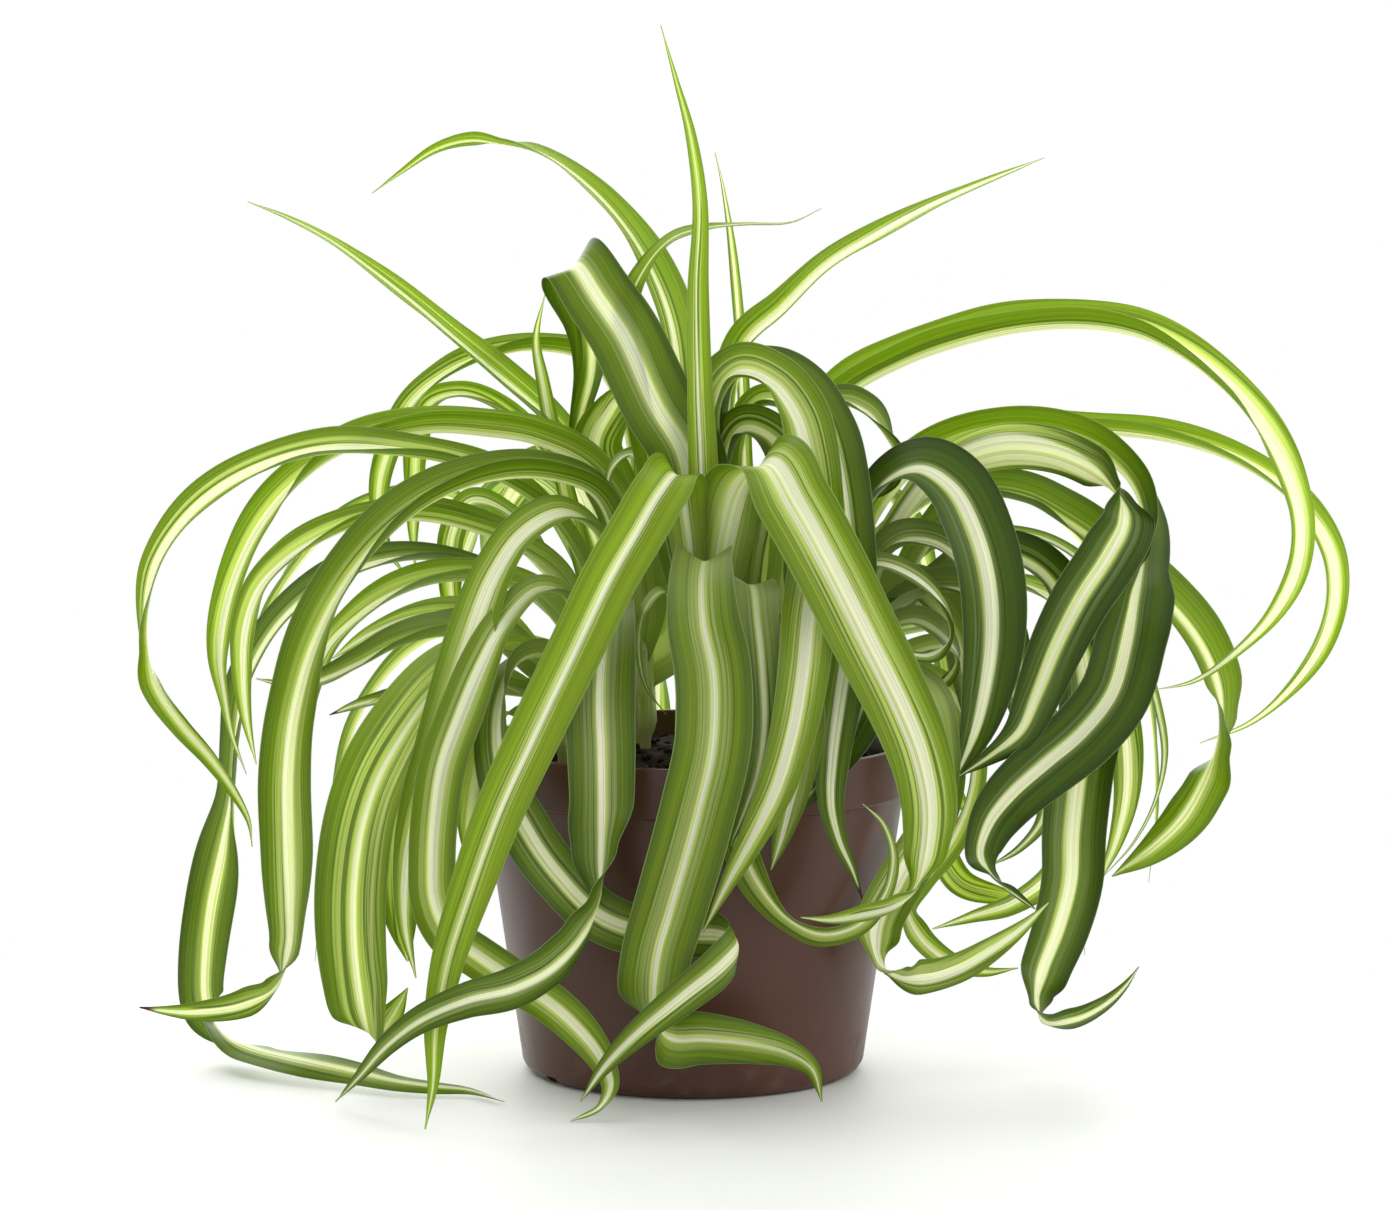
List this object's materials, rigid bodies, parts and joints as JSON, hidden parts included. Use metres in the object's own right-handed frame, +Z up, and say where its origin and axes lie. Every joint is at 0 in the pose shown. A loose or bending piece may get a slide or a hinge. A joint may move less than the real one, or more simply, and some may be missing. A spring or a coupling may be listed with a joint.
{
  "type": "potted spider plant",
  "caption": "Spider plant with long arching cream-striped leaves in a round brown plastic nursery pot, for a table or shelf.",
  "frame": {"origin": "centre of the pot's foot, on the surface that the pot stands on", "axes": "+Z up along the pot's axis, -Y towards the viewer of the picture, +X to that viewer's right"},
  "size_m": [0.369, 0.2642, 0.3129],
  "materials": {
    "pot_plastic": "smooth satin brown moulded plastic",
    "potting_soil": "dark crumbly peat with small twigs",
    "striped_leaf": "smooth green leaf blade with a cream stripe along its middle, soft sheen"
  },
  "bodies": {
    "root": {"pot": "pot_plastic", "soil": "potting_soil", "rosette_front": "striped_leaf", "rosette_left": "striped_leaf", "rosette_right": "striped_leaf", "rosette_back_left": "striped_leaf", "rosette_back_right": "striped_leaf"}
  },
  "joints": []
}
